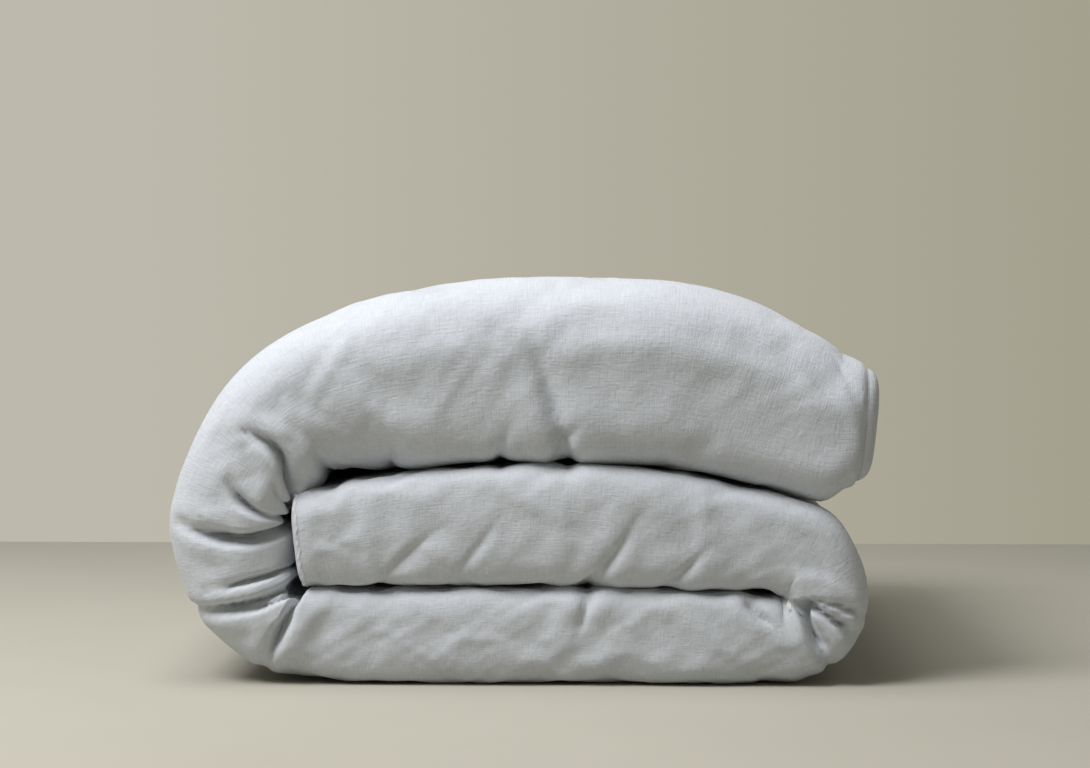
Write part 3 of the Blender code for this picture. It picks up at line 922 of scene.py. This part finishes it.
# The bulge is shut by a quarter of a circle where it meets either sewn edge.
fromEdge = np.minimum(columnPlaces[0], 3.0 - columnPlaces[0]) * coverGrid["leafWidth"]
shutAcross = np.sqrt(1 - (1 - np.clip(fromEdge / ends["closing"], 0.0, 1.0)) ** 2)[:, None]


# q runs from 1 at the outer face to -1 at the inner one, and the wall stands out by its
# bulge times (1 - |q|^2.6)^0.5, with a hem raised on it by 1 - |q|^6.
def endPlace(row, q, bulge, raised=0.0):
    q = q[:, None, None]
    face = np.where(q > 0, outerFace[row], innerFace[row])
    shown = middleFace[row] + (face - middleFace[row]) * np.abs(q)
    thick = np.linalg.norm(face - middleFace[row], axis=-1, keepdims=True)
    bulging = np.sqrt(np.clip(1 - np.abs(q) ** ends["bulgePower"], 0, 1))
    stand = np.minimum(bulge, thick) * bulging + raised * (1 - np.abs(q) ** ends["lapPower"])
    return shown + wayOut(row) * stand * shutAcross


qSteps = np.sin(np.linspace(math.pi / 2, -math.pi / 2, ends["steps"]))
startWall = endPlace(0, qSteps, ends["middleBulge"])
openWall = endPlace(-1, qSteps, ends["openingBulge"])
innerNormals = normalsAway(innerFace)
for stretch, low, high, parts in stretches:
    rows = stretchRows(low, high)
    points, way, facing = innerFace[rows], clothWay[rows], innerNormals[rows]
    if stretch == "Base":
        points = np.concatenate([startWall[:-1], points])
    if stretch == "Top":
        points = np.concatenate([points, openWall[::-1][1:]])
    extra = len(points) - len(way)
    if extra:
        edge, sense = (0, -1) if stretch == "Base" else (-1, 1)
        shift = np.linspace(ends["wayRound"], 0.0, extra + 1)[:-1] * sense
        strip = np.repeat(way[edge][None], extra, axis=0)
        strip[..., 0] += shift[::-sense, None]
        fill = np.repeat(facing[edge][None], extra, axis=0)
        way = np.concatenate([strip, way][::-sense])
        facing = np.concatenate([fill, facing][::-sense])
    panel = gridPiece("coverInner" + stretch, points, linenMaterial, facing, way)
    moveWith(panel, stretch)
    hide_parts(*("cover_inner_" + part for part in parts))
print("inner cover made")


# The two long side seams: the panels' edges sewn together and turned, a puckered ridge that
# stands out behind each leaf. Half a circle from one panel to the other, with a small wave,
# shut by a quarter of a circle at either end.
sideSeam = {
    "stand": 0.0065,
    "half": 0.0026,
    "pucker": 0.0011,
    "wave": 0.017,
    "closing": 0.014,
    "round": 0.016,
    "steps": 9,
}


# cos across from panel to panel and sin outwards, both with the wave.
def seamGrid(column, outward, profile):
    theta = np.linspace(0.0, math.pi, profile["steps"])[None, :, None]
    s = rowPlaces[:, 0][:, None, None]
    base = outerFace[:, column][:, None]
    opposite = innerFace[:, column][:, None]
    centre, half = (base + opposite) / 2, (base - opposite) / 2
    wave = np.sin(s * 2 * math.pi / profile["wave"]) + 0.6 * np.sin(s * 11.3 / profile["wave"])
    fromEnd = np.clip(np.minimum(s, duvetLength - s) / profile["closing"], 0.0, 1.0)
    shut = np.sqrt(1 - (1 - fromEnd) ** 2)
    stand = profile["stand"] * np.sin(theta) * (1 + 0.10 * wave) * shut
    tip = outward * stand + half * np.cos(theta) * (1 + profile["half"] * 60 * shut)
    side = half / np.maximum(np.linalg.norm(half, axis=-1, keepdims=True), 1e-9)
    return centre + tip + side * profile["pucker"] * wave * np.sin(theta) * shut


# The side seams carry the paler seam cloth, a painted highlight on their ridges.
seamWay = wayGrid(rowPlaces, np.linspace(0, sideSeam["round"], sideSeam["steps"])[None, :])
for letter, column in (("A", 0), ("B", -1)):
    seamPoints = seamGrid(column, np.array([0.0, 1.0, 0.0]), sideSeam)
    seamFacing = seamPoints - middleFace[:, column][:, None]
    for stretch, low, high, parts in stretches:
        rows = stretchRows(low, high)
        seam = gridPiece(
            "coverSideSeam" + letter + stretch, seamPoints[rows], seamHighlightMaterial,
            seamFacing[rows], seamWay[rows],
        )
        moveWith(seam, stretch)
        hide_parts(f"cover_side_seam_{letter.lower()}_{parts[0]}")


# The sewn end's seam: a soft round edge along the outer panel's end, gathered a little by
# its stitches. A circle carried along the end, its centre and radius both waving.
endSeam = {"radius": 0.0019, "wave": 0.011, "waver": 0.0008, "steps": 11}
line = outerFace[0] - outerNormals[0] * endSeam["radius"] * 0.55
lengths = np.linalg.norm(np.diff(line, axis=0), axis=1)
walked = np.concatenate([[0.0], np.cumsum(lengths)])
turns = walked * 2 * math.pi / endSeam["wave"]
waver = endSeam["waver"] * (np.sin(turns) + 0.7 * np.sin(turns * 0.43))
line = line + wayOut(0) * waver[:, None]
thick = endSeam["radius"] * (1 + 0.16 * np.sin(turns * 1.7 + 1.0))
ring = np.linspace(0.0, 2 * math.pi, endSeam["steps"])
tube = (
    line[:, None]
    + wayOut(0)[:, None] * (thick[:, None] * np.cos(ring))[..., None]
    + outerNormals[0][:, None] * (thick[:, None] * np.sin(ring))[..., None]
)
# The end seam carries the paler seam cloth, a painted highlight on its ridge.
seamEdge = gridPiece(
    "coverEndSeam", tube, seamHighlightMaterial, tube - line[:, None],
    wayGrid(walked[:, None], ring[None, :] * 0.002),
)
moveWith(seamEdge, "folded_base")
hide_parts("cover_end_seam")


# The opening's two hems, one lapped over the other on the end of the top flap. Each is a
# strip on the end wall, a doubled cloth thick, standing out by its own amount.
hems = {
    "cloth": 0.0008,
    "under": 0.0009,
    "over": 0.0021,
    "lap": 0.30,
    "edge": 0.99,
    "deep": 0.05,
    "steps": 15,
}


# The end wall between two of its places, raised a little.
def hemStrip(fromQ, toQ, raised):
    places = np.linspace(fromQ, toQ, hems["steps"])
    return endPlace(-1, places, ends["openingBulge"], raised)


for name, node, fromQ, toQ, raised in (
    ("openingHemUnder", "opening_hem_under", -hems["edge"], hems["lap"], hems["under"]),
    ("openingHemOver", "opening_hem_over", -hems["lap"], hems["edge"], hems["over"]),
):
    face = hemStrip(fromQ, toQ, raised)
    back = hemStrip(fromQ, toQ, raised - hems["cloth"])
    way = wayGrid(np.linspace(0, hems["deep"], hems["steps"])[:, None], acrossWay)
    hem = gridPiece(name, face, linenMaterial, uv=way, under=back)
    moveWith(hem, "top_flap")
    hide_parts(node)
print("seams and hems made")


# Six corozo buttons on the upper hem, turned with a rim and a dished face, with four holes
# worked in as dimples. Radius and height go round as a profile turned about its axis.
buttonShape = {
    "count": 6,
    "radius": 0.0075,
    "thick": 0.0028,
    "hole": 0.0011,
    "holeDepth": 0.0016,
    "spread": 0.0019,
    "steps": 49,
}
# Its profile from the middle of the face round the rim to the back, as shares of both.
buttonOut = (0.0, 0.15, 0.3, 0.45, 0.6, 0.72, 0.8, 0.9, 0.97, 1.0, 0.97, 0.85, 0.0)
buttonUp = (0.62, 0.62, 0.63, 0.65, 0.68, 0.80, 0.95, 1.0, 0.88, 0.55, 0.2, 0.0, 0.0)
buttonFace = 6


# The profile turned through a whole circle, less exp(-(d / hole)^4) at each hole.
def buttonGrid(seat, out, along):
    r = buttonShape["radius"] * np.array(buttonOut)
    h = buttonShape["thick"] * np.array(buttonUp)
    turn = np.linspace(0.0, 2 * math.pi, buttonShape["steps"])
    x, y = r[:, None] * np.cos(turn), r[:, None] * np.sin(turn)
    away = np.minimum.reduce([
        np.hypot(x - i * buttonShape["spread"], y - j * buttonShape["spread"])
        for i in (-1, 1) for j in (-1, 1)
    ])
    face = np.arange(len(r))[:, None] < buttonFace
    holes = buttonShape["holeDepth"] * np.exp(-((away / buttonShape["hole"]) ** 4))
    lift = h[:, None] - np.where(face, holes, 0)
    up = np.cross(out, along)
    return seat + x[..., None] * along + y[..., None] * up + lift[..., None] * out


half = buttonShape["count"] // 2
for number in range(buttonShape["count"]):
    onLeaf = number if number < half else buttonShape["count"] - 1 - number
    share = (onLeaf + 0.5) / half * 0.92 + 0.06
    column = int(np.abs(columnPlaces[0] - (share if number < half else 3.0 - share)).argmin())
    seat = endPlace(-1, np.array([0.0]), ends["openingBulge"], hems["over"])[0, column]
    along = middleFace[-1, column + 1] - middleFace[-1, column]
    along = along / np.linalg.norm(along)
    out = wayOut(-1)[column]
    shape = buttonGrid(seat, out, along)
    button = gridPiece(f"button{number + 1}", shape, buttonMaterial, shape - (seat + out * 0.001))
    moveWith(button, "top_flap")
    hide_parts(f"button_{number + 1}")
print("buttons made")


# The insert inside the cover. Every cloth of it lies at a depth below the cover's own two
# faces: the face drawn towards the leaf's middle by that share of the leaf's thickness.
insert = {
    "inset": 0.0136,
    "shell": 0.0022,
    "fill": 0.0042,
    "fillApart": 0.002,
    "baffle": 0.0014,
    "head": 0.008,
    "rows": 4,
    "columns": 3,
}


# middle + (face - middle) times (1 - depth / thickness).
def nested(side, depth, rows, columns):
    face = insertFace if side == "outer" else innerFace
    start, middle = face[rows][:, columns], middleFace[rows][:, columns]
    thick = np.linalg.norm(start - middle, axis=-1, keepdims=True)
    return middle + (start - middle) * np.clip(1 - depth / np.maximum(thick, 1e-6), 0.03, 1)


firstColumn = int(np.searchsorted(columnPlaces[0], insert["inset"]))
lastColumn = columnPlaces.size - 1 - firstColumn
insertColumns = thinned(firstColumn, lastColumn, insert["columns"])
headRow = int(np.searchsorted(rowPlaces[:, 0], insert["head"]))
footRow = rowPlaces.size - 1 - headRow


# The grid rows from one place to another, kept between the insert's head and foot.
def insertRows(low, high):
    first = headRow if low == 0.0 else int(np.abs(rowPlaces[:, 0] - low).argmin())
    last = footRow if high == duvetLength else int(np.abs(rowPlaces[:, 0] - high).argmin())
    return thinned(first, last, insert["rows"])


for side in ("outer", "inner"):
    for stretch, low, high, parts in stretches:
        rows = insertRows(low, high)
        points = nested(side, insert["shell"], rows, insertColumns)
        shell = gridPiece(
            f"insertShell{side.capitalize()}{stretch}", points, percaleMaterial,
            points - middleFace[rows][:, insertColumns], clothWay[rows][:, insertColumns],
        )
        moveWith(shell, stretch)
        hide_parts(f"insert_shell_{side}_{parts[0]}")

for row in range(1, pile["rows"] + 1):
    low = 0.0 if row == 1 else rowEdge(row - 1) + insert["fillApart"]
    high = duvetLength if row == pile["rows"] else rowEdge(row) - insert["fillApart"]
    rows = insertRows(low, high)
    fill = gridPiece(
        f"fillRow{row}", nested("outer", insert["fill"], rows, insertColumns), fibreMaterial,
        under=nested("inner", insert["fill"], rows, insertColumns),
    )
    stretch = {6: "Fold", 7: "Top"}.get(row, "folded_base" if row < 6 else "top_flap")
    moveWith(fill, stretch)
    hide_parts(f"fill_row_{row}")

for row in range(1, pile["rows"]):
    at = np.array([int(np.abs(rowPlaces[:, 0] - rowEdge(row)).argmin())])
    high = nested("outer", insert["fill"] - insert["baffle"], at, insertColumns)[0]
    low = nested("inner", insert["fill"] - insert["baffle"], at, insertColumns)[0]
    share = np.linspace(0.0, 1.0, 7)[:, None, None]
    points = high + (low - high) * share
    step = middleFace[at[0] + 1] - middleFace[at[0]]
    facing = np.broadcast_to(step[insertColumns], points.shape)
    way = wayGrid(share[..., 0] * 0.05, acrossWay[:, insertColumns])
    wall = gridPiece(f"baffle{row}", points, voileMaterial, facing, way)
    body = "folded_base" if row < 6 else "left_fold" if row == 6 else "top_flap"
    moveWith(wall, body)
    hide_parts(f"baffle_{row}")
print("insert made")


# Cotton tape sewn round the insert's edge: half an ellipse from one shell to the other.
binding = {"steps": 9, "stand": 0.0045, "under": 0.0004, "round": 0.03}
bindingWay = np.linspace(0, binding["round"], binding["steps"])[:, None]


# Where the two shells end, just under their own depth.
def boundEdges(rows, columns):
    depth = insert["shell"] + binding["under"]
    return [nested(side, depth, rows, columns) for side in ("outer", "inner")]


# cos from one edge to the other and sin outwards.
def bindingGrid(high, low, outward):
    theta = np.linspace(0.0, math.pi, binding["steps"])[:, None, None]
    centre, half = (high + low) / 2, (high - low) / 2
    return centre + half * np.cos(theta) + outward * binding["stand"] * np.sin(theta)


for letter, column in (("A", firstColumn), ("B", lastColumn)):
    for stretch, low, high, parts in stretches:
        rows = insertRows(low, high)
        edges = [edge[:, 0] for edge in boundEdges(rows, np.array([column]))]
        points = bindingGrid(*edges, np.array([0.0, 1.0, 0.0]))
        facing = points - middleFace[rows][:, column]
        way = wayGrid(bindingWay, rowPlaces[rows, 0][None])
        tape = gridPiece(f"insertBinding{letter}{stretch}", points, tapeMaterial, facing, way)
        moveWith(tape, stretch)
        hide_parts(f"insert_binding_{letter.lower()}_{parts[0]}")

for name, node, row, out, body in (
    ("insertBindingHead", "insert_binding_head", headRow, wayOut(0), "folded_base"),
    ("insertBindingFoot", "insert_binding_foot", footRow, wayOut(-1), "top_flap"),
):
    edges = [edge[0] for edge in boundEdges(np.array([row]), insertColumns)]
    points = bindingGrid(*edges, out[insertColumns])
    facing = points - middleFace[row, insertColumns]
    way = wayGrid(bindingWay, acrossWay[:, insertColumns])
    tape = gridPiece(name, points, tapeMaterial, facing, way)
    moveWith(tape, body)
    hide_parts(node)

# Short tapes in the cover's corners hold the insert's corners: a ribbon between the two,
# flat across and slightly sagging along.
ties = {"width": 0.007, "steps": 9, "sag": 0.0015}
corners = [
    (1, 0, headRow, firstColumn, "folded_base"),
    (2, 0, headRow, lastColumn, "folded_base"),
    (4, -1, footRow, lastColumn, "top_flap"),
    (3, -1, footRow, firstColumn, "top_flap"),
]
for number, row, bound, column, body in corners:
    start = middleFace[row, 1 if column == firstColumn else -2]
    end = middleFace[bound, column]
    t = np.linspace(0.08, 0.92, ties["steps"])[:, None, None]
    wide = np.linspace(-0.5, 0.5, 5)[None, :, None] * ties["width"]
    run = (end - start) / np.linalg.norm(end - start)
    up = outerFace[bound, column] - end
    up = up / np.linalg.norm(up)
    points = start + (end - start) * t + np.cross(run, up) * wide
    points = points - up * ties["sag"] * np.sin(math.pi * t)
    way = wayGrid(t[..., 0] * 0.02, wide[..., 0])
    tie = gridPiece(
        f"cornerTie{number}", points, tapeMaterial, np.broadcast_to(up, points.shape), way
    )
    moveWith(tie, body)
    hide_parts(f"corner_tie_{number}")
print("bindings and ties made")


# A pale matte floor under a soft room: one large lamp above and to the left in front, a
# weaker one overhead, and a warm surround that is dim from below.
studio = {
    "floorHex": "#AFAC9F",
    "floorDim": "#AAA79A",
    # The backdrop's two ends: the darker right is painted shade, away from the lamp on the left.
    "wallLeft": "#BDB9AC",
    "wallShadedRight": "#A29E8C",
    "floorLeft": -1.9,
    "floorRight": 1.9,
    "floorFront": -1.9,
    "floorBack": 1.04,
    "wallStrength": 1.0,
    "surroundHex": "#BDBBB0",
    "surroundStrength": 0.47,
    "surroundBelow": 0.08,
    "lens": 78.2,
    "cameraFrom": (0.080, -2.540, 0.350),
    "cameraTo": (0.0235, -0.3375, 0.2828),
}


lamps = {
    "softKey": {"place": (-1.35, -1.20, 2.40), "target": (0.0, 0.0, 0.15),
                "size": 1.4, "power": 76, "colour": "#FBFBFF"},
    "softTop": {"place": (-0.4, -0.3, 2.5), "target": (0.0, 0.0, 0.1),
                "size": 1.5, "power": 28, "colour": "#FCFCFF"},
}


# Painted board with a faint mottle.
def floorFinish():
    material = blankMaterial("matte painted board")
    mottle = noiseOf(material, placeOf(material), 3.0, 4.0, 0.5)
    colour = toneRamp(material, mottle, [(0.2, studio["floorDim"]), (0.8, studio["floorHex"])])
    return addSurface(material, {"Roughness": 0.75, "Specular IOR Level": 0.25}, colour)


def layFloor():
    x = np.linspace(studio["floorLeft"], studio["floorRight"], 5)[:, None]
    y = np.linspace(studio["floorFront"], studio["floorBack"], 5)[None, :]
    grid = np.stack(np.broadcast_arrays(x, y, -0.0005), axis=-1)
    floor = gridPiece("floor", grid, floorFinish(), np.zeros_like(grid) + [0, 0, 1])


# A round lamp that points at its target.
def hangLamp(name, place, target, size, power, colour):
    lamp = bpy.data.lights.new(name, "AREA")
    lamp.shape, lamp.size, lamp.energy = "DISK", size, power
    lamp.color = hexColour(colour)[:3]
    holder = bpy.data.objects.new(name, lamp)
    holder.location = place
    holder.rotation_euler = (Vector(target) - Vector(place)).to_track_quat("-Z", "Y").to_euler()
    bpy.context.scene.collection.objects.link(holder)


layFloor()
for name, values in lamps.items():
    hangLamp(name, **values)

world = bpy.data.worlds.new("room")
world.use_nodes = True
world.node_tree.nodes.clear()
# The room behind, darker to the right with painted shade, and the weaker light that it gives
# back.
heading = addNode(world, "ShaderNodeTexCoord").outputs["Generated"]
sideways = addNode(world, "ShaderNodeSeparateXYZ", links={"Vector": heading}).outputs["X"]
across = addNode(
    world, "ShaderNodeMapRange", {"From Min": -0.24, "From Max": 0.24}, {"Value": sideways}
).outputs["Result"]
wallColour = toneRamp(world, across, [(0.1, studio["wallLeft"]), (1.0, studio["wallShadedRight"])])
behind = addNode(
    world, "ShaderNodeBackground", {"Strength": studio["wallStrength"]}, {"Color": wallColour}
)
upwards = addNode(world, "ShaderNodeSeparateXYZ", links={"Vector": heading}).outputs["Z"]
strength = addNode(
    world, "ShaderNodeMapRange",
    {"From Min": -0.25, "From Max": 0.30, "To Min": studio["surroundBelow"],
     "To Max": studio["surroundStrength"]}, {"Value": upwards},
).outputs["Result"]
around = addNode(
    world, "ShaderNodeBackground",
    {"Color": hexColour(studio["surroundHex"])}, {"Strength": strength},
)
seen = addNode(world, "ShaderNodeLightPath").outputs["Is Camera Ray"]
both = addNode(
    world, "ShaderNodeMixShader",
    links={0: seen, 1: around.outputs["Background"], 2: behind.outputs["Background"]},
)
addNode(world, "ShaderNodeOutputWorld", links={"Surface": both.outputs["Shader"]})
bpy.context.scene.world = world
bpy.context.scene.view_settings.view_transform = "Standard"

camera = bpy.data.cameras.new("camera")
camera.lens = studio["lens"]
eye = bpy.data.objects.new("camera", camera)
eye.location = studio["cameraFrom"]
aim = Vector(studio["cameraTo"]) - Vector(studio["cameraFrom"])
eye.rotation_euler = aim.to_track_quat("-Z", "Y").to_euler()
bpy.context.scene.collection.objects.link(eye)
bpy.context.scene.camera = eye
print("floor, lamps and camera placed")
